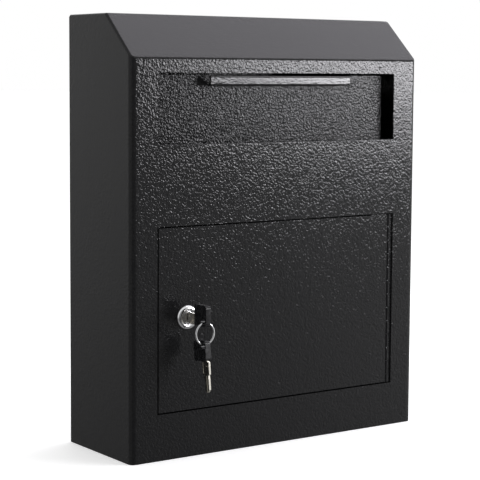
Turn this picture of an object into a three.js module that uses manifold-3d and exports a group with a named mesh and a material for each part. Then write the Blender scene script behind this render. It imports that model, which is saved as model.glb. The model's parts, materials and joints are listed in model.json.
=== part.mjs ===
// Wall mounted mailbox: a folded sheet-steel cabinet with a sloping hood, a
// pull-out deposit flap behind a wide slot, and a key-locked door on a
// continuous hinge. Units are millimetres, +Z up, the front faces -Y.
// The back face lies in the plane y = 0 and the origin is the centre of the
// four wall-mounting holes. Geometry is drawn with z = 0 at the base and the
// cabinet group lowers it by half the height.

import * as THREE from 'three';
import * as BufferGeometryUtils from 'three/addons/utils/BufferGeometryUtils.js';
import Module from 'manifold-3d';

const wasm = await Module();
wasm.setup();

// ---------------------------------------------------------------- dimensions
const W = 312;              // cabinet width (X)
const D = 105;              // cabinet depth (Y)
const H = 381;              // cabinet height (Z)
const T = 1.2;              // sheet thickness
const GAP = 0.3;            // clearance between separate pieces
const BEND_R = 5;           // outer radius of the vertical front corners

const SLOPE_Z = 343.4;        // height where the front meets the slope
const SLOPE_RUN = 41.5;       // depth of the slope
const SLOPE_RISE = H - SLOPE_Z;

const HOLE_X = 100;         // wall holes, half spacing across
const HOLE_Z = 130;         // wall holes, half spacing up
const HOLE_R = 4;

const SLOT_W = 257.8;       // deposit slot
const SLOT_Z0 = 270.6;
const SLOT_Z1 = 331.0;

const DOOR_W = 260.0;       // door opening
const DOOR_Z0 = 40.2;
const DOOR_Z1 = 201.1;
const DOOR_GAP = 1.2;       // visible gap around the door
const DOOR_FLANGE = 8.8;    // depth of the door's folded edges

const HINGE_X = 125.5;      // hinge axis
const HINGE_R = 2.1;        // barrel radius
const PIN_R = 0.9;
const KNUCKLE = 12.7;       // knuckle pitch
const KNUCKLE_Z0 = 48.8;    // first knuckle boundary
const LEAF_W = 18;
const LEAF_T = 0.9;

const LOCK_X = -100;       // cam lock axis
const LOCK_Z = 122.2;
const FLANGE_R = 10.9;
const BARREL_R = 8.9;
const BARREL_L = 16.0;
const BORE_R = 5.9;
const PLUG_R = 5.6;
const CAM_L = 36;

const KEY_NECK = 15.3;      // key head starts this far in front of the door
const HEAD_L = 17.5;        // key head along the key
const HEAD_W = 18;          // key head across the key
const HEAD_T = 5.6;
const HEAD_OFF = 4.7;       // the head's middle stands off the blade's middle by this
const RING_R = 9.2;         // split ring centre line radius
const WIRE_R = 0.8;
const KEY_HOLE_R = 3.0;
const KEY_HOLE_IN = 5.0;    // hole centre from the end of the head
const RING_SAG = 0.85;      // the curved ring clears the hole's two rims

const FLAP_DEPTH = 10.6;    // flap face behind the front face
const FLAP_HALF = 122.4;
const FLAP_Z0 = 260.0;
const FLAP_Z1 = 329.0;
const NOTCH_Z = 320.2;      // bottom of the cut-out behind the pull lip
const NOTCH_TOP = 81;       // half width of the cut-out at the top edge
const NOTCH_LOW = 71.8;     // half width at its bottom
const LIP_HALF = 76.2;
const LIP_TOP = 328.6;
const AXLE_Y = -83;         // flap axle
const AXLE_Z = 257;
const AXLE_R = 1.75;

const FY = -D;              // front plane
const IY = FY + T;          // inner side of the front sheet

// ---------------------------------------------------------------- helpers
function toSolid(geometry) {
  let g = geometry.clone();
  for (const name of Object.keys(g.attributes)) {
    if (name !== 'position') g.deleteAttribute(name);
  }
  g = BufferGeometryUtils.mergeVertices(g, 1e-4);
  return new wasm.Manifold(new wasm.Mesh({
    numProp: 3,
    vertProperties: new Float32Array(g.attributes.position.array),
    triVerts: new Uint32Array(g.index.array),
  }));
}

function toGeometry(solid) {
  const m = solid.getMesh();
  const g = new THREE.BufferGeometry();
  g.setAttribute('position', new THREE.BufferAttribute(new Float32Array(m.vertProperties), 3));
  g.setIndex(new THREE.BufferAttribute(new Uint32Array(m.triVerts), 1));
  const flat = g.toNonIndexed();
  flat.computeVertexNormals();
  return flat;
}

const join = (...parts) => parts.reduce((a, b) => a.add(b));
const cut = (a, ...tools) => tools.reduce((s, t) => s.subtract(t), a);

// box between two corners
function box(x0, x1, y0, y1, z0, z1) {
  const g = new THREE.BoxGeometry(x1 - x0, y1 - y0, z1 - z0);
  g.translate((x0 + x1) / 2, (y0 + y1) / 2, (z0 + z1) / 2);
  return toSolid(g);
}

// cylinder along 'x', 'y' or 'z'
function cyl(axis, r, a, b, c1, c2, seg = 24, r2 = r) {
  const g = new THREE.CylinderGeometry(r2, r, b - a, seg);
  if (axis === 'x') { g.rotateZ(-Math.PI / 2); g.translate((a + b) / 2, c1, c2); }
  if (axis === 'y') { g.translate(c1, (a + b) / 2, c2); }
  if (axis === 'z') { g.rotateX(Math.PI / 2); g.translate(c1, c2, (a + b) / 2); }
  return toSolid(g);
}

// outline in (X, Y) raised from z0 to z1
function prismZ(points, z0, z1) {
  const s = new THREE.Shape(points.map((p) => new THREE.Vector2(p[0], p[1])));
  const g = new THREE.ExtrudeGeometry(s, { depth: z1 - z0, bevelEnabled: false });
  g.translate(0, 0, z0);
  return toSolid(g);
}

// outline in (Y, Z) run from x0 to x1
function prismX(points, x0, x1) {
  const s = new THREE.Shape(points.map((p) => new THREE.Vector2(p[0], p[1])));
  const g = new THREE.ExtrudeGeometry(s, { depth: x1 - x0, bevelEnabled: false });
  g.applyMatrix4(new THREE.Matrix4().makeBasis(
    new THREE.Vector3(0, 1, 0), new THREE.Vector3(0, 0, 1), new THREE.Vector3(1, 0, 0)));
  g.translate(x0, 0, 0);
  return toSolid(g);
}

// outline in (X, Z) run from y0 to y1
function prismY(points, y0, y1) {
  const s = new THREE.Shape(points.map((p) => new THREE.Vector2(p[0], p[1])));
  const g = new THREE.ExtrudeGeometry(s, { depth: y1 - y0, bevelEnabled: false });
  g.applyMatrix4(new THREE.Matrix4().makeBasis(
    new THREE.Vector3(1, 0, 0), new THREE.Vector3(0, 0, 1), new THREE.Vector3(0, -1, 0)));
  g.translate(0, y1, 0);
  return toSolid(g);
}

// outline in (radius, y) turned about the Y direction through (x, z)
function latheY(points, x, z, seg = 32) {
  const g = new THREE.LatheGeometry(points.map((p) => new THREE.Vector2(p[0], p[1])), seg);
  g.translate(x, 0, z);
  let s = toSolid(g);
  return s;
}

// round-cornered rectangle outline
function roundRect(a0, a1, b0, b1, r, n = 4) {
  const pts = [];
  const c = [[a1 - r, b0 + r, -90], [a1 - r, b1 - r, 0], [a0 + r, b1 - r, 90], [a0 + r, b0 + r, 180]];
  for (const [ca, cb, start] of c) {
    for (let i = 0; i <= n; i++) {
      const t = (start + (90 * i) / n) * Math.PI / 180;
      pts.push([ca + r * Math.cos(t), cb + r * Math.sin(t)]);
    }
  }
  return pts;
}

const paint = () => new THREE.MeshStandardMaterial({ color: 0x1d1d1f, roughness: 0.45, metalness: 0.3 });
const zinc = () => new THREE.MeshStandardMaterial({ color: 0xb9bcc0, roughness: 0.35, metalness: 0.9 });
const chrome = () => new THREE.MeshStandardMaterial({ color: 0xe6e6e8, roughness: 0.12, metalness: 1.0 });
const nickel = () => new THREE.MeshStandardMaterial({ color: 0xd8d2c4, roughness: 0.25, metalness: 1.0 });
const plastic = () => new THREE.MeshStandardMaterial({ color: 0x131314, roughness: 0.4, metalness: 0.0 });

function mesh(name, solid, material) {
  const m = new THREE.Mesh(solid.isBufferGeometry ? solid : toGeometry(solid), material);
  m.name = name;
  return m;
}

// ---------------------------------------------------------------- cabinet
const cabinet = new THREE.Group();
cabinet.position.set(0, 0, -H / 2);

// half-space above the underside of the hood, as a long wedge
const sl = Math.hypot(SLOPE_RUN, SLOPE_RISE);
const ny = -SLOPE_RISE / sl;           // slope normal, outward
const nz = SLOPE_RUN / sl;
const under = T + GAP;
const aboveHood = prismX([
  [FY - 60 - ny * under, SLOPE_Z - 60 * SLOPE_RISE / SLOPE_RUN - nz * under],
  [FY + SLOPE_RUN - (Math.tan(Math.atan2(SLOPE_RISE, SLOPE_RUN) / 2)) * -under, H - under],
  [60, H - under],
  [60, H + 120],
  [FY - 60, H + 120],
], -W, W);

// front sheet: flat face with rounded vertical corners, slot and door windows
{
  const h = W / 2;
  const outer = [];
  const inner = [];
  const n = 6;
  for (let i = 0; i <= n; i++) {
    const t = Math.PI + (Math.PI / 2) * i / n;
    outer.push([-h + BEND_R + BEND_R * Math.cos(t), FY + BEND_R + BEND_R * Math.sin(t)]);
    inner.push([-h + BEND_R + (BEND_R - T) * Math.cos(t), FY + BEND_R + (BEND_R - T) * Math.sin(t)]);
  }
  const o2 = outer.map(([x, y]) => [-x, y]).reverse();
  const i2 = inner.map(([x, y]) => [-x, y]).reverse();
  const outline = [...outer, ...o2, ...i2.slice().reverse(), ...inner.slice().reverse()];
  let s = prismZ(outline, 0, SLOPE_Z + 8);
  s = cut(s, aboveHood,
    box(-SLOT_W / 2, SLOT_W / 2, FY - 5, FY + 5, SLOT_Z0, SLOT_Z1),
    box(-DOOR_W / 2, DOOR_W / 2, FY - 5, FY + 5, DOOR_Z0, DOOR_Z1));
  cabinet.add(mesh('front_panel', s, paint()));
}

// side sheets, butt-welded to the front sheet's rounded corners
for (const side of [-1, 1]) {
  const y0 = FY + BEND_R + GAP;
  const x0 = side < 0 ? -W / 2 : W / 2 - T;
  let s = box(x0, x0 + T, y0, -T - GAP, 0, H);
  s = cut(s, aboveHood);
  cabinet.add(mesh(side < 0 ? 'left_side_panel' : 'right_side_panel', s, paint()));
}

// hood: slope and top folded from one sheet
{
  const k = Math.tan(Math.atan2(SLOPE_RISE, SLOPE_RUN) / 2) * T;
  const pts = [
    [FY, SLOPE_Z],
    [FY - ny * T, SLOPE_Z - nz * T],
    [FY + SLOPE_RUN + k, H - T],
    [0, H - T],
    [0, H],
    [FY + SLOPE_RUN, H],
  ];
  cabinet.add(mesh('hood_panel', prismX(pts, -W / 2, W / 2), paint()));
}

// bottom sheet, inside the four walls
{

  const pts = roundRect(-W / 2 + T + GAP, W / 2 - T - GAP, IY + GAP, -T - GAP, 0.01, 1);
  let s = prismZ(pts, 0, T);
  const b = BEND_R + 3;
  s = cut(s, prismZ([[-W / 2 - 1, FY - 1], [-W / 2 + b, FY - 1], [-W / 2 - 1, FY + b]], -1, T + 1),
    prismZ([[W / 2 + 1, FY - 1], [W / 2 + 1, FY + b], [W / 2 - b, FY - 1]], -1, T + 1));
  cabinet.add(mesh('bottom_panel', s, paint()));
}

// back sheet with four wall-mounting holes
{
  let s = box(-W / 2, W / 2, -T, 0, 0, H - T - GAP);
  for (const sx of [-1, 1]) for (const sz of [-1, 1]) {
    s = cut(s, cyl('y', HOLE_R, -10, 10, sx * HOLE_X, H / 2 + sz * HOLE_Z, 24));
  }
  cabinet.add(mesh('back_panel', s, paint()));
}

// strike: angle welded behind the door opening that the lock's cam hooks
const STRIKE_Y = FY + BARREL_L - 0.6;
{
  const x = -DOOR_W / 2 - 2.4;
  const a = box(x - 17, x, IY + GAP, IY + GAP + T, LOCK_Z - 22, LOCK_Z + 22);
  const b = box(x - T, x, IY + GAP, STRIKE_Y, LOCK_Z - 22, LOCK_Z + 22);
  cabinet.add(mesh('strike_bracket', join(a, b), zinc()));
}

// two stops that the closed door rests on
for (const [name, zc] of [['door_stop_upper', DOOR_Z1 - 22], ['door_stop_lower', DOOR_Z0 + 22]]) {
  const x = -DOOR_W / 2 - 2.4;
  const yb = IY + DOOR_FLANGE + 0.4;
  const a = box(x - 17, x, IY + GAP, IY + GAP + T, zc - 9, zc + 9);
  const b = box(x - T, x, IY + GAP, yb + T, zc - 9, zc + 9);
  const c = box(x - T, x + 13, yb, yb + T, zc - 9, zc + 9);
  cabinet.add(mesh(name, join(a, b, c), zinc()));
}

// ---------------------------------------------------------------- door
const HINGE_Y = FY + HINGE_R;
const HZ0 = DOOR_Z0 + 0.8;
const HZ1 = DOOR_Z1 - 0.8;
const bounds = [HZ0];
for (let z = KNUCKLE_Z0; z < HZ1 - 2; z += KNUCKLE) bounds.push(z);
bounds.push(HZ1);

function hingeLeaf(parity, dir) {
  // a flat leaf joined to every second knuckle by a short web
  const yl = IY + GAP;
  const near = HINGE_R + 0.5;
  const far = HINGE_R + 0.5 + LEAF_W;
  const xs = (d0, d1) => (dir > 0 ? [HINGE_X + d0, HINGE_X + d1] : [HINGE_X - d1, HINGE_X - d0]);
  const [l0, l1] = xs(near, far);
  let s = box(l0, l1, yl, yl + LEAF_T, HZ0, HZ1);
  for (let i = 0; i < bounds.length - 1; i++) {
    if (i % 2 !== parity) continue;
    const a = bounds[i] + 0.2;
    const b = bounds[i + 1] - 0.2;
    const [w0, w1] = xs(HINGE_R - 0.6, near + 0.5);
    s = join(s, cyl('z', HINGE_R, a, b, HINGE_X, HINGE_Y, 20), box(w0, w1, yl, yl + LEAF_T, a, b));
  }
  s = cut(s, cyl('z', PIN_R + 0.25, HZ0 - 5, HZ1 + 5, HINGE_X, HINGE_Y, 12));
  return s;
}
cabinet.add(mesh('hinge_leaf_frame', hingeLeaf(0, 1), paint()));
cabinet.add(mesh('hinge_pin', cyl('z', PIN_R, HZ0 + 0.3, HZ1 - 0.3, HINGE_X, HINGE_Y, 12), zinc()));
cabinet.add(mesh('hinge_leaf_door', hingeLeaf(1, -1), paint()));

// door: a shallow pan, folded back on three edges, flat at the hinge
{
  const x0 = -DOOR_W / 2 + DOOR_GAP;
  const x1 = HINGE_X - HINGE_R - 0.3;
  const z0 = DOOR_Z0 + DOOR_GAP;
  const z1 = DOOR_Z1 - DOOR_GAP;
  const yf = IY + DOOR_FLANGE;
  let s = box(x0, x1, FY, FY + T, z0, z1);
  s = join(s,
    box(x0, x0 + T, FY, yf, z0, z1),
    box(x0, x1 - 23, FY, yf, z0, z0 + T),
    box(x0, x1 - 23, FY, yf, z1 - T, z1));
  s = cut(s, cyl('y', BARREL_R + 0.3, FY - 5, FY + 5, LOCK_X, LOCK_Z, 32));
  cabinet.add(mesh('door_panel', s, paint()));
}

// ---------------------------------------------------------------- cam lock
{
  const f0 = FY - GAP;
  const pts = [
    [BORE_R, FY + BARREL_L], [BORE_R, f0 - 2.5], [FLANGE_R - 2.6, f0 - 2.5], [FLANGE_R - 0.7, f0 - 1.9],
    [FLANGE_R, f0 - 0.8], [FLANGE_R, f0], [BARREL_R, f0], [BARREL_R, FY + BARREL_L], [BORE_R, FY + BARREL_L],
  ];
  cabinet.add(mesh('lock_housing', latheY(pts, LOCK_X, LOCK_Z, 36), chrome()));
}
{
  const y0 = IY + GAP;
  let s = cut(cyl('y', 12.6, y0, y0 + 3.2, LOCK_X, LOCK_Z, 6),
    cyl('y', BARREL_R + 0.3, y0 - 5, y0 + 8, LOCK_X, LOCK_Z, 32));
  cabinet.add(mesh('lock_nut', s, zinc()));
}
const PLUG_Y0 = FY - GAP - 1.6;         // plug face, a little inside the flange
const PLUG_Y1 = FY + BARREL_L + 0.4;    // plug shoulder that carries the cam
{
  // plug with its keyway open to the front and a square tail for the cam
  let s = join(cyl('y', PLUG_R, PLUG_Y0, PLUG_Y1, LOCK_X, LOCK_Z, 28),
    box(LOCK_X - 2.8, LOCK_X + 2.8, PLUG_Y1 - 1, PLUG_Y1 + 2.6, LOCK_Z - 2.8, LOCK_Z + 2.8));
  s = cut(s, box(LOCK_X - 1.2, LOCK_X + 1.2, PLUG_Y0 - 2, PLUG_Y1 - 2.2, LOCK_Z - 4.1, LOCK_Z + 4.1),
    cyl('y', 1.5, PLUG_Y1 - 2.0, PLUG_Y1 + 5, LOCK_X, LOCK_Z, 12));
  cabinet.add(mesh('lock_plug', s, chrome()));
}
{
  // cam: flat tongue with a square hole, at rest pointing up (unlocked)
  const y0 = PLUG_Y1 + 0.2;
  const outline = [];
  for (let i = 0; i <= 12; i++) {
    const t = Math.PI + Math.PI * i / 12;
    outline.push([LOCK_X + 7.5 * Math.cos(t), LOCK_Z + 7.5 * Math.sin(t)]);
  }
  for (let i = 0; i <= 6; i++) {
    const t = Math.PI * i / 6;
    outline.push([LOCK_X + 6 * Math.cos(t), LOCK_Z + CAM_L - 6 + 6 * Math.sin(t)]);
  }
  let s = prismY(outline, y0, y0 + 2);
  s = cut(s, box(LOCK_X - 3.1, LOCK_X + 3.1, y0 - 2, y0 + 4, LOCK_Z - 3.1, LOCK_Z + 3.1));
  cabinet.add(mesh('lock_cam', s, zinc()));
  const w0 = PLUG_Y1 + 2.6 + GAP;
  cabinet.add(mesh('cam_screw', join(cyl('y', 4.6, w0, w0 + 2.4, LOCK_X, LOCK_Z, 20),
    cyl('y', 1.2, PLUG_Y1 - 1.5, w0 + 1, LOCK_X, LOCK_Z, 12)), zinc()));
}

// ---------------------------------------------------------------- keys
// A key drawn along -Y from its tip: blade, shoulder and moulded head, all in
// the plane x = 0. 'base' is the y of the door face in the key's own frame.
function keyBlade() {
  const tip = 11.5;                       // reach behind the door face
  const outline = [
    [-KEY_NECK - 3.5, -2.6], [-KEY_NECK + 0.4, -2.6], [-KEY_NECK + 0.4, -4.9], [-3.4, -4.9], [-3.4, -3.5],
    [tip - 2.2, -3.5], [tip, -1.2], [tip, 0.6],
    [tip - 3, 2.6], [tip - 4.6, 1.6], [tip - 6, 2.6], [tip - 7.6, 1.2], [tip - 9.4, 2.8], [tip - 11, 1.8], [tip - 12.2, 3.5],
    [-3.4, 3.5], [-3.4, 4.9], [-KEY_NECK + 0.4, 4.9], [-KEY_NECK + 0.4, 2.6], [-KEY_NECK - 3.5, 2.6],
  ];
  return prismX(outline, -0.9, 0.9);
}
function keyHead() {
  const y1 = -KEY_NECK;
  const y0 = y1 - HEAD_L;
  let s = prismX(roundRect(y0, y1, HEAD_OFF - HEAD_W / 2, HEAD_OFF + HEAD_W / 2, 2.6, 4), -HEAD_T / 2, HEAD_T / 2);
  s = cut(s,
    cyl('x', KEY_HOLE_R, -10, 10, y0 + KEY_HOLE_IN, 0, 20),
    box(-1.2, 1.2, y1 - 4.0, y1 + 2, -3.0, 3.0));
  return s;
}
const holeY = -KEY_NECK - HEAD_L + KEY_HOLE_IN;   // ring hole, from the door face
{
  const key = new THREE.Group();
  key.position.set(LOCK_X, FY, LOCK_Z);
  key.add(mesh('key_blade', keyBlade(), nickel()), mesh('key_head', keyHead(), plastic()));
  cabinet.add(key);
}

// split ring: two flat turns pressed together, hanging from the key head
const RING_Z = LOCK_Z - KEY_HOLE_R + WIRE_R + RING_SAG - RING_R;
{
  const n = 40;
  const prof = [];
  for (let i = 0; i < 8; i++) {
    const t = 2 * Math.PI * (i + 0.5) / 8;
    prof.push(new THREE.Vector2(RING_R + WIRE_R * 1.0 * Math.cos(t), 1.25 * Math.sin(t)));
  }
  prof.push(prof[0].clone());
  const g = new THREE.LatheGeometry(prof.slice().reverse(), n);
  g.translate(LOCK_X, FY + holeY, RING_Z);
  let s = toSolid(g);
  if (s.volume() < 0) {
    const g2 = new THREE.LatheGeometry(prof, n);
    g2.translate(LOCK_X, FY + holeY, RING_Z);
    s = toSolid(g2);
  }
  cabinet.add(mesh('split_ring', s, chrome()));
}

// spare key, hanging blade down from the ring
const SPARE_LEAN = 7 * Math.PI / 180;
{
  const spare = new THREE.Group();
  const pz = RING_Z - RING_R + WIRE_R + RING_SAG - KEY_HOLE_R;
  spare.position.set(LOCK_X, FY + holeY, pz);
  spare.rotation.x = Math.PI / 2 - SPARE_LEAN;
  const shift = (s) => { const g = toGeometry(s); g.translate(0, -holeY, 0); g.rotateX(Math.PI); return g; };
  spare.add(mesh('spare_key_blade', shift(keyBlade()), nickel()),
    mesh('spare_key_head', shift(keyHead()), plastic()));
  cabinet.add(spare);
}

// ---------------------------------------------------------------- deposit flap
{
  const f0 = FY + FLAP_DEPTH;
  const f1 = f0 + T;
  const b = NOTCH_LOW;
  const plate = [
    [-FLAP_HALF, FLAP_Z0], [FLAP_HALF, FLAP_Z0], [FLAP_HALF, FLAP_Z1], [NOTCH_TOP, FLAP_Z1],
    [b, NOTCH_Z], [-b, NOTCH_Z], [-NOTCH_TOP, FLAP_Z1], [-FLAP_HALF, FLAP_Z1],
  ];
  let s = prismY(plate, f0, f1);
  // pull lip: a shelf forward from the notch, turned up and hemmed at the front
  s = join(s,
    box(-b, b, FY + 0.2, f1, NOTCH_Z, NOTCH_Z + T),
    prismY([[-LIP_HALF, NOTCH_Z], [LIP_HALF, NOTCH_Z], [LIP_HALF, LIP_TOP], [-LIP_HALF, LIP_TOP]], FY, FY + T),
    box(-LIP_HALF, LIP_HALF, FY + 0.6, FY + 2.5, LIP_TOP - 3.4, LIP_TOP));
  // ears folded back at both ends, drilled for the axle
  for (const sx of [-1, 1]) {
    const x0 = sx < 0 ? -FLAP_HALF : FLAP_HALF - T;
    const ear = prismX([[f0, FLAP_Z0 - 8], [AXLE_Y + 5.6, FLAP_Z0 - 8], [AXLE_Y + 5.6, FLAP_Z0 + 7], [f1, FLAP_Z0 + 22], [f0, FLAP_Z0 + 22]], x0, x0 + T);
    s = join(s, ear);
  }
  s = cut(s, cyl('x', AXLE_R + 0.3, -W, W, AXLE_Y, AXLE_Z, 16));
  cabinet.add(mesh('deposit_flap', s, paint()));
}
const BR_X = 124.6;                       // inner side of the axle brackets
cabinet.add(mesh('flap_axle', cyl('x', AXLE_R, -BR_X - T - 4, BR_X + T + 4, AXLE_Y, AXLE_Z, 16), zinc()));
for (const sx of [-1, 1]) {
  const side = sx < 0 ? 'left' : 'right';
  const m = (a, b) => (sx < 0 ? [-b, -a] : [a, b]);
  const [a0, a1] = m(BR_X, BR_X + 18);
  const [b0, b1] = m(BR_X, BR_X + T);
  const [c0, c1] = m(BR_X - 9, BR_X + T);
  let s = join(
    box(a0, a1, IY + GAP, IY + GAP + T, AXLE_Z - 11, AXLE_Z + 10),
    box(b0, b1, IY + GAP, AXLE_Y + 7.2, AXLE_Z - 11, AXLE_Z + 10),
    box(c0, c1, AXLE_Y + 6.0, AXLE_Y + 7.2, AXLE_Z + 4, AXLE_Z + 10));
  s = cut(s, cyl('x', AXLE_R + 0.3, -W, W, AXLE_Y, AXLE_Z, 16));
  cabinet.add(mesh('flap_bracket_' + side, s, zinc()));
  // retaining clip outside each bracket
  const [r0, r1] = m(BR_X + T + 0.5, BR_X + T + 1.3);
  let clip = cut(cyl('x', 4.2, r0, r1, AXLE_Y, AXLE_Z, 20), cyl('x', AXLE_R + 0.2, r0 - 1, r1 + 1, AXLE_Y, AXLE_Z, 16),
    box(r0 - 1, r1 + 1, AXLE_Y - 1.5, AXLE_Y + 1.5, AXLE_Z - 6, AXLE_Z));
  cabinet.add(mesh('axle_clip_' + side, clip, zinc()));
  // torsion spring: a coil on the axle, one leg on the cabinet, one on the flap
  const turns = 4;
  const pts = [];
  const R = 3.4;
  const xs = sx * (FLAP_HALF - T - 3);
  pts.push(new THREE.Vector3(xs, IY + 0.9, AXLE_Z - 8 - 4));
  pts.push(new THREE.Vector3(xs, IY + 0.9, AXLE_Z - 8));
  pts.push(new THREE.Vector3(xs, AXLE_Y - R * 2.2, AXLE_Z - R * 1.02));
  const n = turns * 12;
  for (let i = 0; i <= n; i++) {
    const t = -Math.PI / 2 + 2 * Math.PI * turns * i / n;
    pts.push(new THREE.Vector3(xs - sx * 1.2 * turns * i / n, AXLE_Y + R * Math.cos(t), AXLE_Z + R * Math.sin(t)));
  }
  const xe = xs - sx * 1.2 * turns;
  pts.push(new THREE.Vector3(xe, AXLE_Y + 1.4, AXLE_Z - R));
  pts.push(new THREE.Vector3(xe, AXLE_Y + 1.9, AXLE_Z - R + 0.9));
  const curve = new THREE.CurvePath();
  for (let i = 0; i < pts.length - 1; i++) curve.add(new THREE.LineCurve3(pts[i], pts[i + 1]));
  cabinet.add(mesh('flap_spring_' + side, sweep(pts.slice(0, pts.length - 1), 0.5, 6), zinc()));
}

// round wire through a list of points, as a closed solid
function sweep(points, radius, sides) {
  const ring = [];
  const pos = [];
  const idx = [];
  let normal = new THREE.Vector3();
  const tangents = points.map((p, i) => {
    const a = points[Math.max(0, i - 1)];
    const b = points[Math.min(points.length - 1, i + 1)];
    return b.clone().sub(a).normalize();
  });
  const seed = Math.abs(tangents[0].x) < 0.9 ? new THREE.Vector3(1, 0, 0) : new THREE.Vector3(0, 1, 0);
  normal.crossVectors(tangents[0], seed).normalize();
  for (let i = 0; i < points.length; i++) {
    normal.sub(tangents[i].clone().multiplyScalar(normal.dot(tangents[i]))).normalize();
    const bin = new THREE.Vector3().crossVectors(tangents[i], normal);
    for (let k = 0; k < sides; k++) {
      const t = 2 * Math.PI * k / sides;
      const v = points[i].clone().add(normal.clone().multiplyScalar(radius * Math.cos(t)))
        .add(bin.clone().multiplyScalar(radius * Math.sin(t)));
      pos.push(v.x, v.y, v.z);
    }
  }
  const q = (i, k) => i * sides + (k % sides);
  for (let i = 0; i < points.length - 1; i++) {
    for (let k = 0; k < sides; k++) {
      idx.push(q(i, k), q(i, k + 1), q(i + 1, k), q(i, k + 1), q(i + 1, k + 1), q(i + 1, k));
    }
  }
  for (let k = 1; k < sides - 1; k++) {
    idx.push(q(0, 0), q(0, k + 1), q(0, k));
    const e = points.length - 1;
    idx.push(q(e, 0), q(e, k), q(e, k + 1));
  }
  const g = new THREE.BufferGeometry();
  g.setAttribute('position', new THREE.BufferAttribute(new Float32Array(pos), 3));
  g.setIndex(idx);
  const flat = g.toNonIndexed();
  flat.computeVertexNormals();
  return flat;
}

export default cabinet;
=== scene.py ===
import math

import bmesh
import bpy
from mathutils import Matrix, Vector
import json


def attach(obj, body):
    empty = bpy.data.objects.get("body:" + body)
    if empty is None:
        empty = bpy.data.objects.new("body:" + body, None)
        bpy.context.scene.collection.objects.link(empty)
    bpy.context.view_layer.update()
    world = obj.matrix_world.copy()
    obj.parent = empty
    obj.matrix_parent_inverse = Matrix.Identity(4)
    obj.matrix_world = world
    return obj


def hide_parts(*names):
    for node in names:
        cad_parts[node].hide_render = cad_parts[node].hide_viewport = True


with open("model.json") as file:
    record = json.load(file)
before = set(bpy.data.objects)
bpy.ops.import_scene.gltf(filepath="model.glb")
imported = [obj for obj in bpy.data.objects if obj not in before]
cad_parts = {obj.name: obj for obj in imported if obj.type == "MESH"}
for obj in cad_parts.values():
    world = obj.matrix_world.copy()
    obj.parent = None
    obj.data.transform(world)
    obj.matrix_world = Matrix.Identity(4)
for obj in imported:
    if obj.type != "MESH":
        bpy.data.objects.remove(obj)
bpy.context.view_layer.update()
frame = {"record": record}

MM = 0.001
W, D, H = 312.0, 105.0, 381.0
FY = -D
Z0 = -H / 2  # base height in the frame; local heights below are measured from the base
SLOPE_Z, SLOPE_RUN = 343.4, 41.5
SLOT = (-128.9, 128.9, 270.6, 331.0)
DOOR = (-130.0, 130.0, 40.2, 201.1)
T = 1.2


def P(x, y, z):
    """millimetres with z from the base -> metres in the frame"""
    return Vector((x * MM, y * MM, (z + Z0) * MM))


# --------------------------------------------------------------------------- materials
def nodes_of(mat):
    mat.use_nodes = True
    nt = mat.node_tree
    nt.nodes.clear()
    out = nt.nodes.new("ShaderNodeOutputMaterial")
    bsdf = nt.nodes.new("ShaderNodeBsdfPrincipled")
    nt.links.new(bsdf.outputs[0], out.inputs[0])
    return nt, bsdf


def add(nt, kind, **kw):
    n = nt.nodes.new(kind)
    for k, v in kw.items():
        if hasattr(n, k):
            setattr(n, k, v)
        else:
            n.inputs[k].default_value = v
    return n


def setin(n, **kw):
    for k, v in kw.items():
        n.inputs[k.replace("_", " ")].default_value = v


def noise(nt, coord, scale, detail=2.0, rough=0.5, dist=0.0):
    n = nt.nodes.new("ShaderNodeTexNoise")
    n.inputs["Scale"].default_value = scale
    n.inputs["Detail"].default_value = detail
    n.inputs["Roughness"].default_value = rough
    n.inputs["Distortion"].default_value = dist
    nt.links.new(coord, n.inputs["Vector"])
    return n.outputs["Fac"]


def ramp(nt, value, a, b, lo=0.0, hi=1.0, smooth=True):
    m = nt.nodes.new("ShaderNodeMapRange")
    m.interpolation_type = "SMOOTHSTEP" if smooth else "LINEAR"
    m.inputs["From Min"].default_value = a
    m.inputs["From Max"].default_value = b
    m.inputs["To Min"].default_value = lo
    m.inputs["To Max"].default_value = hi
    nt.links.new(value, m.inputs["Value"])
    return m.outputs["Result"]


def math_node(nt, op, a, b):
    m = nt.nodes.new("ShaderNodeMath")
    m.operation = op
    for i, v in enumerate((a, b)):
        if isinstance(v, (int, float)):
            m.inputs[i].default_value = v
        else:
            nt.links.new(v, m.inputs[i])
    return m.outputs[0]


def mix_color(nt, fac, a, b):
    m = nt.nodes.new("ShaderNodeMix")
    m.data_type = "RGBA"
    nt.links.new(fac, m.inputs["Factor"])
    for i, v in ((6, a), (7, b)):
        if isinstance(v, tuple):
            m.inputs[i].default_value = (*v, 1.0)
        else:
            nt.links.new(v, m.inputs[i])
    return m.outputs[2]


def bump(nt, height, strength, distance, normal=None):
    b = nt.nodes.new("ShaderNodeBump")
    b.inputs["Strength"].default_value = strength
    b.inputs["Distance"].default_value = distance
    nt.links.new(height, b.inputs["Height"])
    if normal is not None:
        nt.links.new(normal, b.inputs["Normal"])
    return b.outputs["Normal"]


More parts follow.
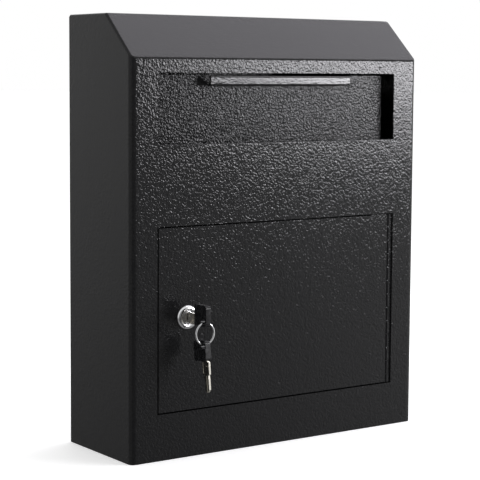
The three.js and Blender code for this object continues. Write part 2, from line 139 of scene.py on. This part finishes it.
def paint_material(name, base=(0.0063, 0.0063, 0.0066), high=(0.0084, 0.0084, 0.0088), grain=0.82, rough=(0.04, 0.05), spec=0.2):
    """Black hammertone powder coat: leathery dimples a few millimetres apart."""
    mat = bpy.data.materials.new(name)
    nt, b = nodes_of(mat)
    tc = nt.nodes.new("ShaderNodeTexCoord").outputs["Object"]
    cells = noise(nt, tc, 540.0, 1.0, 0.45, 0.6)
    fine = noise(nt, tc, 1250.0, 2.0, 0.5, 0.2)
    broad = noise(nt, tc, 26.0, 3.0, 0.55, 0.0)
    patch = noise(nt, tc, 110.0, 2.0, 0.5, 0.3)
    ridge = ramp(nt, cells, 0.2, 0.8, smooth=False)
    height = math_node(nt, "ADD", ridge, math_node(nt, "MULTIPLY", fine, 0.10))
    nt.links.new(bump(nt, height, 1.0, 0.00018 * grain), b.inputs["Normal"])
    col = mix_color(nt, ramp(nt, cells, 0.3, 0.75), base, high)
    nt.links.new(col, b.inputs["Base Color"])
    r = math_node(nt, "ADD", ramp(nt, broad, 0.3, 0.7, rough[0], rough[1]), ramp(nt, fine, 0.3, 0.7, -0.02, 0.02))
    nt.links.new(r, b.inputs["Roughness"])
    b.inputs["IOR"].default_value = 1.5
    b.inputs["Specular IOR Level"].default_value = spec
    return mat


def zinc_material(name, tint=(0.50, 0.51, 0.53), brushed=(1.0, 1.0, 14.0)):
    mat = bpy.data.materials.new(name)
    nt, b = nodes_of(mat)
    tc = nt.nodes.new("ShaderNodeTexCoord").outputs["Object"]
    mp = nt.nodes.new("ShaderNodeMapping")
    mp.inputs["Scale"].default_value = brushed
    nt.links.new(tc, mp.inputs["Vector"])
    streak = noise(nt, mp.outputs[0], 420.0, 3.0, 0.6)
    blotch = noise(nt, tc, 90.0, 3.0, 0.55, 0.6)
    col = mix_color(nt, ramp(nt, blotch, 0.3, 0.7), tuple(c * 0.82 for c in tint), tint)
    nt.links.new(col, b.inputs["Base Color"])
    b.inputs["Metallic"].default_value = 1.0
    nt.links.new(ramp(nt, math_node(nt, "ADD", streak, blotch), 0.6, 1.4, 0.26, 0.46), b.inputs["Roughness"])
    nt.links.new(bump(nt, streak, 0.35, 0.00003), b.inputs["Normal"])
    return mat


def chrome_material(name, tint=(0.78, 0.78, 0.79), rough=(0.05, 0.14), scratch=0.00001):
    mat = bpy.data.materials.new(name)
    nt, b = nodes_of(mat)
    tc = nt.nodes.new("ShaderNodeTexCoord").outputs["Object"]
    mp = nt.nodes.new("ShaderNodeMapping")
    mp.inputs["Scale"].default_value = (1.0, 5.0, 0.35)
    nt.links.new(tc, mp.inputs["Vector"])
    fine = noise(nt, mp.outputs[0], 1600.0, 3.0, 0.6)
    blotch = noise(nt, tc, 260.0, 3.0, 0.6, 0.5)
    col = mix_color(nt, ramp(nt, blotch, 0.35, 0.75), tint, tuple(c * 0.86 for c in tint))
    nt.links.new(col, b.inputs["Base Color"])
    b.inputs["Metallic"].default_value = 1.0
    nt.links.new(ramp(nt, blotch, 0.3, 0.75, rough[0], rough[1]), b.inputs["Roughness"])
    nt.links.new(bump(nt, fine, 0.5, scratch), b.inputs["Normal"])
    return mat


def plastic_material(name):
    mat = bpy.data.materials.new(name)
    nt, b = nodes_of(mat)
    tc = nt.nodes.new("ShaderNodeTexCoord").outputs["Object"]
    grain = noise(nt, tc, 2600.0, 2.0, 0.5)
    wear = noise(nt, tc, 300.0, 4.0, 0.6, 0.3)
    col = mix_color(nt, ramp(nt, wear, 0.45, 0.8), (0.006, 0.006, 0.0065), (0.016, 0.016, 0.017))
    nt.links.new(col, b.inputs["Base Color"])
    nt.links.new(ramp(nt, wear, 0.3, 0.75, 0.20, 0.30), b.inputs["Roughness"])
    nt.links.new(bump(nt, grain, 0.4, 0.00003), b.inputs["Normal"])
    b.inputs["Specular IOR Level"].default_value = 0.3
    return mat


PAINT = paint_material("black_hammertone")
# a copy of the black paint with a lower specular level: painted shade that darkens the recessed flap (its stronger
# grain is real bump)
FLAP_PAINT_SHADED = paint_material("black_hammertone_flap_painted_shade", grain=1.5, spec=0.105)
# a copy of the black paint with a higher specular level: painted highlight that brightens the lip strip
LIP_PAINT_LIT = paint_material("black_hammertone_lip_painted_highlight", grain=0.3, spec=0.29)
ZINC = zinc_material("zinc_plate")
CHROME = chrome_material("lock_chrome")
NICKEL = chrome_material("key_nickel", tint=(0.72, 0.69, 0.62), rough=(0.14, 0.26), scratch=0.00002)
PLASTIC = plastic_material("key_plastic")
MATERIAL = {
    "black_paint": PAINT,
    "zinc_steel": ZINC,
    "lock_chrome": CHROME,
    "key_nickel": NICKEL,
    "black_plastic": PLASTIC,
}


# --------------------------------------------------------------------------- mesh helpers
def obj_from(name, verts, faces, mat, smooth=True):
    me = bpy.data.meshes.new(name)
    me.from_pydata([tuple(v) for v in verts], [], faces)
    me.validate()
    bm = bmesh.new()
    bm.from_mesh(me)
    bmesh.ops.recalc_face_normals(bm, faces=bm.faces)
    bm.to_mesh(me)
    bm.free()
    ob = bpy.data.objects.new(name, me)
    bpy.context.collection.objects.link(ob)
    if mat is not None:
        me.materials.append(mat)
    if smooth:
        for p in me.polygons:
            p.use_smooth = True
    return ob


def apply_modifiers(ob):
    dg = bpy.context.evaluated_depsgraph_get()
    dg.update()
    me = bpy.data.meshes.new_from_object(ob.evaluated_get(dg))
    old = ob.data
    ob.modifiers.clear()
    ob.data = me
    bpy.data.meshes.remove(old)


def boolean(ob, tool, op="DIFFERENCE"):
    m = ob.modifiers.new("cut", "BOOLEAN")
    m.operation = op
    m.solver = "EXACT"
    m.object = tool
    apply_modifiers(ob)
    me = tool.data
    bpy.data.objects.remove(tool)
    bpy.data.meshes.remove(me)


def soften(ob, width_mm, segments=2, angle=35.0, shade=True):
    b = ob.modifiers.new("edge", "BEVEL")
    b.width = width_mm * MM
    b.segments = segments
    b.limit_method = "ANGLE"
    b.angle_limit = math.radians(angle)
    b.harden_normals = False
    b.use_clamp_overlap = True
    if shade:
        for p in ob.data.polygons:
            p.use_smooth = True
        w = ob.modifiers.new("normals", "WEIGHTED_NORMAL")
        w.weight = 80
        w.keep_sharp = True


def box(name, x0, x1, y0, y1, z0, z1, mat=None):
    c = [P(x, y, z) for x in (x0, x1) for y in (y0, y1) for z in (z0, z1)]
    f = [(0, 1, 3, 2), (4, 6, 7, 5), (0, 4, 5, 1), (2, 3, 7, 6), (0, 2, 6, 4), (1, 5, 7, 3)]
    return obj_from(name, c, f, mat, smooth=False)


def rod(name, axis, r, a, b, c1, c2, seg=48, mat=None):
    """cylinder along x, y or z, in millimetres from the base"""
    verts, faces = [], []
    for e in (a, b):
        for i in range(seg):
            t = 2 * math.pi * i / seg
            u, v = r * math.cos(t), r * math.sin(t)
            verts.append({"x": P(e, c1 + u, c2 + v), "y": P(c1 + u, e, c2 + v), "z": P(c1 + u, c2 + v, e)}[axis])
    for i in range(seg):
        j = (i + 1) % seg
        faces.append((i, j, seg + j, seg + i))
    faces.append(tuple(range(seg - 1, -1, -1)))
    faces.append(tuple(range(seg, 2 * seg)))
    return obj_from(name, verts, faces, mat)


def lathe_y(name, profile, x, z, seg, mat, closed=True):
    """(radius, y) profile turned about the Y line through (x, z)"""
    verts, faces = [], []
    n = len(profile)
    for i in range(seg):
        t = 2 * math.pi * i / seg
        for r, y in profile:
            verts.append(P(x + r * math.cos(t), y, z + r * math.sin(t)))
    m = n if closed else n - 1
    for i in range(seg):
        j = (i + 1) % seg
        for k in range(m):
            l = (k + 1) % n
            faces.append((i * n + k, i * n + l, j * n + l, j * n + k))
    if not closed:
        faces.append(tuple(i * n for i in range(seg)))
        faces.append(tuple(i * n + n - 1 for i in reversed(range(seg))))
    return obj_from(name, verts, faces, mat)


def arc(cx, cy, r, a0, a1, n):
    return [(cx + r * math.cos(math.radians(a0 + (a1 - a0) * i / n)), cy + r * math.sin(math.radians(a0 + (a1 - a0) * i / n))) for i in range(n + 1)]


def rounded_corner(p, a, b, r, n):
    """points of a fillet at p between directions to a and b"""
    u = (Vector(a) - Vector(p)).normalized()
    v = (Vector(b) - Vector(p)).normalized()
    ang = u.angle(v)
    d = r / math.tan(ang / 2)
    c = Vector(p) + (u + v).normalized() * (r / math.sin(ang / 2))
    s, e = Vector(p) + u * d, Vector(p) + v * d
    out = []
    for i in range(n + 1):
        t = i / n
        w = (s - c).lerp(e - c, t)
        # even angular steps along the arc
        a0 = math.atan2((s - c).y, (s - c).x)
        a1 = math.atan2((e - c).y, (e - c).x)
        da = (a1 - a0 + math.pi) % (2 * math.pi) - math.pi
        out.append(c + r * Vector((math.cos(a0 + da * t), math.sin(a0 + da * t))))
    return out


def sweep(name, points, section, mat, closed=False, up=Vector((0, 1, 0))):
    """section [(u, v)] in metres carried along points; u is along 'up' x tangent, v along up"""
    verts, faces = [], []
    n, k = len(points), len(section)
    for i, p in enumerate(points):
        a = points[(i - 1) % n] if closed or i > 0 else p
        b = points[(i + 1) % n] if closed or i < n - 1 else p
        t = (b - a).normalized()
        side = t.cross(up).normalized()
        v = side.cross(t).normalized()
        for (su, sv) in section:
            verts.append(p + side * su + v * sv)
    m = n if closed else n - 1
    for i in range(m):
        j = (i + 1) % n
        for q in range(k):
            r = (q + 1) % k
            faces.append((i * k + q, i * k + r, j * k + r, j * k + q))
    if not closed:
        faces.append(tuple(reversed(range(k))))
        faces.append(tuple((n - 1) * k + q for q in range(k)))
    return obj_from(name, verts, faces, mat)


# --------------------------------------------------------------------------- cabinet skin
def cabinet_body(name, inset, y_back, z_base, radii, corner, nx=8, nc=6):
    """The closed outline of the cabinet, lofted across X, with rounded end edges.
    inset shrinks every wall; radii are the end-edge radii of front, slope, top;
    corner(x) gives the fillet radii of front/slope and slope/top."""
    hx = W / 2 - inset
    dirv = Vector((SLOPE_RUN, H - SLOPE_Z)).normalized()
    nrm = Vector((-dirv.y, dirv.x))

    def off(d, r):
        return 0.0 if d >= r else r - math.sqrt(max(r * r - (r - d) ** 2, 0.0))

    rmax = max(radii)
    ds = sorted({0.0, *[rmax * (1 - math.cos(math.pi / 2 * i / nx)) for i in range(nx + 1)],
                 *[r * (1 - math.cos(math.pi / 2 * i / nx)) for r in radii for i in range(nx + 1)], 7.0, 10.0})
    ds = [d for i, d in enumerate(ds) if i == 0 or d - ds[i - 1] > 1e-3]
    xs = [-hx + d for d in ds] + [hx - d for d in reversed(ds)]
    loops = []
    for i, x in enumerate(xs):
        d = min(x + hx, hx - x)
        of, osl, ot = (off(d, r) + inset for r in radii)
        yf = FY + of
        # slope line: points q with (q - q0).nrm = -osl
        q0 = Vector((FY, SLOPE_Z)) - nrm * osl
        # front/slope corner
        t = (yf - q0.x) / dirv.x
        c1 = q0 + dirv * t
        zt = H - ot
        t = (zt - q0.y) / dirv.y
        c2 = q0 + dirv * t
        r1, r2 = corner(x)
        pts = [Vector((yf, z_base))]
        pts += rounded_corner(c1, (yf, z_base), c2, r1, nc)
        pts += rounded_corner(c2, c1, (y_back, zt), r2, nc)
        pts += [Vector((y_back, zt)), Vector((y_back, z_base))]
        loops.append([P(x, p.x, p.y) for p in pts])
    verts = [v for l in loops for v in l]
    k = len(loops[0])
    faces = []
    for i in range(len(loops) - 1):
        for q in range(k):
            r = (q + 1) % k
            faces.append((i * k + q, i * k + r, (i + 1) * k + r, (i + 1) * k + q))
    faces.append(tuple(reversed(range(k))))
    faces.append(tuple((len(loops) - 1) * k + q for q in range(k)))
    return obj_from(name, verts, faces, None)


def outer_corner(x):
    # the slope/top fold is ground rounder where it meets the right side
    t = max(0.0, min(1.0, (x - (W / 2 - 10)) / 8.0))
    return 3.6, 2.2 + 4.3 * t


skin = cabinet_body("cabinet_skin", 0.0, -T - 0.08, 0.0, (5.0, 2.2, 1.6), outer_corner)
skin.data.materials.append(PAINT)
hollow = cabinet_body("hollow", T, 20.0, -20.0, (3.8, 1.0, 0.6), lambda x: (1.2, 1.0))
boolean(skin, hollow)
for x0, x1, z0, z1 in (SLOT, DOOR):
    boolean(skin, box("window", x0, x1, FY - 5, FY + 6, z0, z1))
# the slot's lower edge is eased at 45 degrees where mail slides over it
ease = [P(x, y, z) for x in SLOT[:2] for y, z in ((-106, 268.75), (-103.15, 271.6), (-106, 271.6))]
boolean(skin, obj_from("ease", ease, [(0, 1, 2), (5, 4, 3), (0, 3, 4, 1), (1, 4, 5, 2), (2, 5, 3, 0)], None))
soften(skin, 0.4, 2, 50.0)
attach(skin, "cabinet")
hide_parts("front_panel", "left_side_panel", "right_side_panel", "hood_panel")

# --------------------------------------------------------------------------- more mesh helpers
def fillet(points, radii, n=5):
    """rounds the corners of a closed 2-D outline"""
    out = []
    k = len(points)
    for i, (p, r) in enumerate(zip(points, radii)):
        if r <= 0:
            out.append(Vector(p))
        else:
            out += rounded_corner(p, points[i - 1], points[(i + 1) % k], r, n)
    return out


def extrude(name, outline, a, b, place, mat=None, smooth=False):
    """outline of (u, v) pulled from a to b; place(u, v, w) gives the point"""
    k = len(outline)
    verts = [place(p[0], p[1], w) for w in (a, b) for p in outline]
    faces = [(i, (i + 1) % k, k + (i + 1) % k, k + i) for i in range(k)]
    faces += [tuple(reversed(range(k))), tuple(range(k, 2 * k))]
    return obj_from(name, verts, faces, mat, smooth=smooth)


# --------------------------------------------------------------------------- deposit flap
FLAP_Y = FY + 10.6
flap = extrude("flap_panel",
               fillet([(-122.4, 260), (122.4, 260), (122.4, 329), (81, 329), (71.8, 320.2), (-71.8, 320.2), (-81, 329), (-122.4, 329)],
                      [1.0, 1.0, 2.0, 1.4, 1.6, 1.6, 1.4, 2.0]),
               FLAP_Y, FLAP_Y + T, lambda u, v, w: P(u, w, v))
shelf = extrude("shelf",
                [(-93.25, 318.6), (-93.25, 319.8)] + arc(-94.8, 319.8, 1.6, 0, 90, 6)[1:] + [(-104.0, 321.4), (-104.0, 320.25)]
                + arc(-95.0, 319.65, 0.6, 90, 0, 4) + [(-94.35, 318.6)],
                -71.8, 71.8, lambda u, v, w: P(w, u, v))
strip = extrude("strip",
                [(-103.0, 320.2)] + arc(-103.6, 321.6, 1.4, 270, 180, 7) + [(-105.0, 327.05), (-104.72, 327.32)]
                + arc(-104.12, 327.92, 0.82, 215, 0, 9) + [(-102.75, 327.75), (-102.5, 327.45), (-102.5, 325.5), (-102.65, 325.3), (-103.65, 325.3), (-103.8, 325.05), (-103.8, 321.9), (-103.3, 321.35)],
                -76.2, 76.2, lambda u, v, w: P(w, u, v))
boolean(flap, shelf, "UNION")
boolean(flap, strip, "UNION")
for sx in (-1, 1):
    ear = extrude("ear",
                  fillet([(-94.38, 252), (-77.4, 252), (-77.4, 267), (-93.4, 282), (-94.38, 282)], [1.5, 2.5, 3.0, 0.6, 0.0]),
                  sx * 121.2, sx * 122.35, lambda u, v, w: P(w, u, v))
    boolean(flap, ear, "UNION")
boolean(flap, rod("axle_hole", "x", 2.05, -140, 140, -83, 257, 24))
flap.data.materials.clear()
flap.data.materials.append(FLAP_PAINT_SHADED)
flap.data.materials.append(LIP_PAINT_LIT)
# faces near the front (the lip strip) get the copy with the painted highlight; the rest of the flap gets the copy
# with painted shade
for poly in flap.data.polygons:
    if poly.center.y < (FY + 3.5) * MM:
        poly.material_index = 1
soften(flap, 0.3, 2, 40.0)
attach(flap, "flap")
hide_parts("deposit_flap")

# --------------------------------------------------------------------------- cam lock
LX, LZ = -100.0, 122.2
thread = []
y = -99.6
while y < -90.4:
    thread += [(8.9, y), (8.45, y + 0.5)]
    y += 1.0
housing = lathe_y("lock_cylinder",
                  [(5.9, -89.0), (5.9, -106.4), (6.15, -107.0), (6.7, -107.55), (7.3, -107.78), (7.9, -107.8), (8.7, -107.68), (9.5, -107.36),
                   (10.05, -106.75), (10.4, -106.1), (10.55, -105.6), (10.53, -105.3), (8.9, -105.3)] + thread + [(8.9, -90.2), (8.9, -89.5), (8.5, -89.0)],
                  LX, LZ, 72, CHROME)
soften(housing, 0.08, 1, 50.0)
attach(housing, "door")
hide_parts("lock_housing")

plug = lathe_y("key_plug", [(4.7, -106.75), (5.2, -106.9), (5.45, -106.78), (5.6, -106.5), (5.6, -89.0), (5.3, -88.6)], LX, LZ, 56, CHROME, closed=False)
boolean(plug, extrude("keyway", fillet([(-1.2, -4.1), (1.2, -4.1), (1.2, 4.1), (-1.2, 4.1)], [0.3] * 4, 2), -109, -93.3, lambda u, v, w: P(LX + u, w, LZ + v)))
tail = extrude("tail", fillet([(-2.8, -2.8), (2.8, -2.8), (2.8, 2.8), (-2.8, 2.8)], [0.3] * 4, 2), -89.5, -86.0, lambda u, v, w: P(LX + u, w, LZ + v))
boolean(plug, tail, "UNION")
boolean(plug, rod("screw_hole", "y", 1.5, -90.6, -85.0, LX, LZ, 16))
soften(plug, 0.12, 1, 50.0)
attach(plug, "lock")
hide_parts("lock_plug")

# --------------------------------------------------------------------------- keys
HOLE_Y = -27.8  # ring hole, from the door face
RING_C = (LX, FY + HOLE_Y, 111.65)
LEAN = math.radians(83.0)


def at_lock(kx, ky, kz):
    return P(LX + kx, FY + ky, LZ + kz)


def at_spare(kx, ky, kz):
    a, b = -(ky - HOLE_Y), -kz
    return P(LX + kx, FY + HOLE_Y + a * math.cos(LEAN) - b * math.sin(LEAN), 101.1 + a * math.sin(LEAN) + b * math.cos(LEAN))


def disc(name, place, cy, cz, r, x0, x1, seg=32):
    return extrude(name, [(cy + r * math.cos(2 * math.pi * i / seg), cz + r * math.sin(2 * math.pi * i / seg)) for i in range(seg)],
                   x0, x1, lambda u, v, w: place(w, u, v))


def key(prefix, place, body, nodes):
    slab = lambda name, pts, x0, x1: extrude(name, pts, x0, x1, lambda u, v, w: place(w, u, v))
    head = slab(prefix + "_bow", fillet([(-32.8, -4.3), (-15.3, -4.3), (-15.3, 13.7), (-32.8, 13.7)], [3.0, 2.2, 2.2, 3.0], 6), -2.8, 2.8)
    for sx in (-1, 1):
        # a shallow square panel and a step round the ring hole on each face
        boolean(head, slab("panel", fillet([(-24.6, 0.8), (-17.6, 0.8), (-17.6, 8.9), (-24.6, 8.9)], [0.8] * 4, 3), sx * 2.0, sx * 4.0))
        boolean(head, slab("step", [(-40, -8), (-25.9, -8), (-25.9, 20), (-40, 20)], sx * 2.45, sx * 4.0))
    boolean(head, disc("hole", place, HOLE_Y, 0, 3.0, -5, 5))
    boolean(head, slab("slot", [(-19.3, -3.0), (-13, -3.0), (-13, 3.0), (-19.3, 3.0)], -1.2, 1.2))
    head.data.materials.clear()
    head.data.materials.append(PLASTIC)
    soften(head, 0.45, 3, 40.0)
    blade = slab(prefix + "_blade_milled",
                 fillet([(-18.8, -2.6), (-14.9, -2.6), (-14.9, -4.9), (-3.4, -4.9), (-3.4, -3.5), (9.3, -3.5), (11.5, -1.2), (11.5, 0.6),
                         (8.5, 2.6), (6.9, 1.6), (5.5, 2.6), (3.9, 1.2), (2.1, 2.8), (0.5, 1.8), (-0.7, 3.5), (-3.4, 3.5), (-3.4, 4.9), (-14.9, 4.9), (-14.9, 2.6), (-18.8, 2.6)],
                        [0, 0, 0.6, 0.6, 0.3, 0.8, 0.5, 0.5, 0.3, 0.3, 0.3, 0.3, 0.3, 0.3, 0.3, 0.3, 0.6, 0.6, 0, 0], 3), -0.9, 0.9)
    for sx in (-1, 1):
        boolean(blade, slab("groove", [(-2.6, -1.9), (13, -1.9), (13, -0.4), (-2.6, -0.4)], sx * 0.5, sx * 2.0))
        boolean(blade, slab("shoulder_panel", fillet([(-14.2, 1.2), (-4.6, 1.2), (-4.6, 4.0), (-14.2, 4.0)], [0.5] * 4, 2), sx * 0.65, sx * 2.0))
    for kz in (-1.5, -3.6):
        boolean(blade, disc("dimple", place, -10.9, kz, 0.62, -2, 2, 14))
    blade.data.materials.clear()
    blade.data.materials.append(NICKEL)
    soften(blade, 0.16, 2, 35.0)
    for ob, node in ((head, nodes[1]), (blade, nodes[0])):
        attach(ob, body)
        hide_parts(node)


key("lock_key", at_lock, "key", ("key_blade", "key_head"))
key("spare_key", at_spare, "spare_key", ("spare_key_blade", "spare_key_head"))

turns = []
n = 150
for i in range(n + 1):
    t = math.radians(62) + 4 * math.pi * i / n
    r = 9.2
    turns.append(P(RING_C[0] + r * math.cos(t), RING_C[1] - 0.62 + 1.24 * i / n, RING_C[2] + r * math.sin(t)))
sec = [(0.66 * math.cos(a) * MM, 0.31 * math.sin(a) * MM) for a in [math.radians(q) for q in (10, 38, 70, 110, 142, 170, 190, 218, 250, 290, 322, 350)]]
ring = sweep("double_split_ring", turns, sec, CHROME)
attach(ring, "key_ring")
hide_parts("split_ring")

# --------------------------------------------------------------------------- CAD nodes that stay
record = frame["record"]
slots = {s["node"]: s["material_slot"] for s in record["subparts"]}


def finish_node(node, mat, bevel=0.3, segments=2):
    ob = bpy.data.objects[node]
    ob.data.materials.clear()
    ob.data.materials.append(mat)
    w = ob.modifiers.new("weld", "WELD")
    w.merge_threshold = 0.000005
    d = ob.modifiers.new("flat", "DECIMATE")
    d.decimate_type = "DISSOLVE"
    d.angle_limit = math.radians(0.6)
    if bevel:
        soften(ob, bevel, segments, 32.0)


for node, bevel in (("bottom_panel", 0.3), ("back_panel", 0.35), ("door_panel", 0.9),
                    ("strike_bracket", 0.3), ("door_stop_upper", 0.3), ("door_stop_lower", 0.3),
                    ("flap_bracket_left", 0.3), ("flap_bracket_right", 0.3), ("axle_clip_left", 0.15), ("axle_clip_right", 0.15),
                    ("lock_nut", 0.3), ("lock_cam", 0.3), ("cam_screw", 0.3), ("hinge_pin", 0.1), ("flap_axle", 0.2),
                    ("flap_spring_left", 0.0), ("flap_spring_right", 0.0), ("hinge_leaf_frame", 0.1), ("hinge_leaf_door", 0.1)):
    finish_node(node, MATERIAL[slots[node]], bevel)

# --------------------------------------------------------------------------- stage
floor_mat = bpy.data.materials.new("studio_floor")
nt, b = nodes_of(floor_mat)
tc = nt.nodes.new("ShaderNodeTexCoord").outputs["Object"]
fcol = mix_color(nt, noise(nt, tc, 3.0, 2.0), (0.86, 0.86, 0.86), (0.90, 0.90, 0.90))
nt.links.new(fcol, b.inputs["Base Color"])
b.inputs["Roughness"].default_value = 0.6
b.inputs["Specular IOR Level"].default_value = 0.2
b.inputs["Emission Color"].default_value = (1, 1, 1, 1)
b.inputs["Emission Strength"].default_value = 0.35
bpy.ops.mesh.primitive_plane_add(size=60, location=(0, 0, Z0 * MM - 0.0002))
floor = bpy.context.object
floor.name = "floor"
floor.data.materials.append(floor_mat)
floor.visible_glossy = False

world = bpy.data.worlds.new("studio")
bpy.context.scene.world = world
world.use_nodes = True
wn = world.node_tree
wn.nodes.clear()
wo = wn.nodes.new("ShaderNodeOutputWorld")
bg = wn.nodes.new("ShaderNodeBackground")
wc = wn.nodes.new("ShaderNodeTexCoord").outputs["Generated"]
sep = wn.nodes.new("ShaderNodeSeparateXYZ")
wn.links.new(wc, sep.inputs[0])


def towards(az, lo, hi, a, b):
    d = wn.nodes.new("ShaderNodeVectorMath")
    d.operation = "DOT_PRODUCT"
    d.inputs[1].default_value = (math.sin(math.radians(az)), -math.cos(math.radians(az)), 0.0)
    wn.links.new(wc, d.inputs[0])
    return ramp(wn, d.outputs["Value"], lo, hi, a, b)


low = ramp(wn, sep.outputs["Z"], -0.23, 0.03, 0.35, 0.95, smooth=False)
high = ramp(wn, sep.outputs["Z"], 0.15, 0.9, 0.0, 0.25)
glow = math_node(wn, "MULTIPLY", towards(60, 0.87, 0.97, 0.0, 0.95), ramp(wn, sep.outputs["Z"], -0.02, 0.1, 1.0, 0.0))
level = math_node(wn, "MULTIPLY", math_node(wn, "ADD", low, high), towards(-15, 0.62, 0.93, 1.0, 0.25))
wn.links.new(math_node(wn, "ADD", level, glow), bg.inputs["Strength"])
wn.links.new(bg.outputs[0], wo.inputs[0])

# a white backdrop that only the camera sees, so that the room stays out of the paint
white = bpy.data.materials.new("backdrop_white")
nt, b = nodes_of(white)
b.inputs["Base Color"].default_value = (0, 0, 0, 1)
b.inputs["Specular IOR Level"].default_value = 0.0
b.inputs["Emission Color"].default_value = (1, 1, 1, 1)
b.inputs["Emission Strength"].default_value = 1.0
bpy.ops.mesh.primitive_uv_sphere_add(segments=48, ring_count=24, radius=24, location=(0, 0, 0))
dome = bpy.context.object
dome.name = "backdrop"
dome.data.materials.append(white)
for flag in ("visible_diffuse", "visible_glossy", "visible_transmission", "visible_volume_scatter", "visible_shadow"):
    setattr(dome, flag, False)


def softbox(name, az, el, dist, sx, sy, radiance, color=(1, 1, 1), about=(0.0, -0.105, 0.0)):
    """az from the front (-Y) towards the right (+X); radiance in scene units"""
    a, e = math.radians(az), math.radians(el)
    d = Vector((math.sin(a) * math.cos(e), -math.cos(a) * math.cos(e), math.sin(e)))
    data = bpy.data.lights.new(name, "AREA")
    data.shape = "RECTANGLE"
    data.size, data.size_y = sx, sy
    data.energy = radiance * math.pi * sx * sy
    data.color = color
    ob = bpy.data.objects.new(name, data)
    bpy.context.collection.objects.link(ob)
    ob.location = Vector(about) + d * dist
    ob.rotation_euler = (-d).to_track_quat("-Z", "Y").to_euler()
    ob.visible_camera = False
    return ob


COOL = (0.99, 0.98, 1.02)


def panel(name, az0, az1, z0, z1, radiance, color=COOL, dist=1.6):
    """an upright softbox between two bearings and two heights, seen from the front panel"""
    a = math.radians((az0 + az1) / 2)
    w = 2 * dist * math.tan(math.radians((az1 - az0) / 2))
    data = bpy.data.lights.new(name, "AREA")
    data.shape = "RECTANGLE"
    data.size, data.size_y = w, z1 - z0
    data.energy = radiance * math.pi * w * (z1 - z0)
    data.color = color
    ob = bpy.data.objects.new(name, data)
    bpy.context.collection.objects.link(ob)
    d = Vector((math.sin(a), -math.cos(a), 0.0))
    ob.location = Vector((0, -0.105, (z0 + z1) / 2)) + d * dist
    ob.rotation_euler = (-d).to_track_quat("-Z", "Y").to_euler()
    ob.visible_camera = False


panel("main_softbox", 38.5, 62.0, 0.082, 0.46, 26.0)
panel("main_softbox_middle", 35.2, 38.5, 0.098, 0.46, 20.0)
panel("main_softbox_edge", 30.0, 35.2, 0.118, 0.46, 18.0)
softbox("top_softbox", 100.0, 53.0, 1.5, 1.3, 1.3, 1.75, (1.0, 0.965, 1.06), (0.0, -0.085, 0.17))

# --------------------------------------------------------------------------- camera
cam_data = bpy.data.cameras.new("camera")
cam = bpy.data.objects.new("camera", cam_data)
bpy.context.collection.objects.link(cam)
right = Vector((0.8184013975, -0.5746149985, 0.0060626749))
down = Vector((-0.0491377509, -0.0804887815, -0.9955435889))
fwd = Vector((0.5725422552, 0.8144563583, -0.0941074199))
rot = Matrix((right, -down, -fwd)).transposed()
cam.matrix_world = Matrix.Translation(Vector((-0.828461527, -1.219209244, 0.141441863))) @ rot.to_4x4()
cam_data.sensor_width = 36.0
cam_data.lens = 1566.8433 / 480 * 36.0
cam_data.shift_x = 0.0
cam_data.shift_y = -20.0 / 480
cam_data.clip_start, cam_data.clip_end = 0.01, 100.0
bpy.context.scene.camera = cam
bpy.context.scene.view_settings.view_transform = "Standard"
bpy.context.scene.view_settings.look = "None"
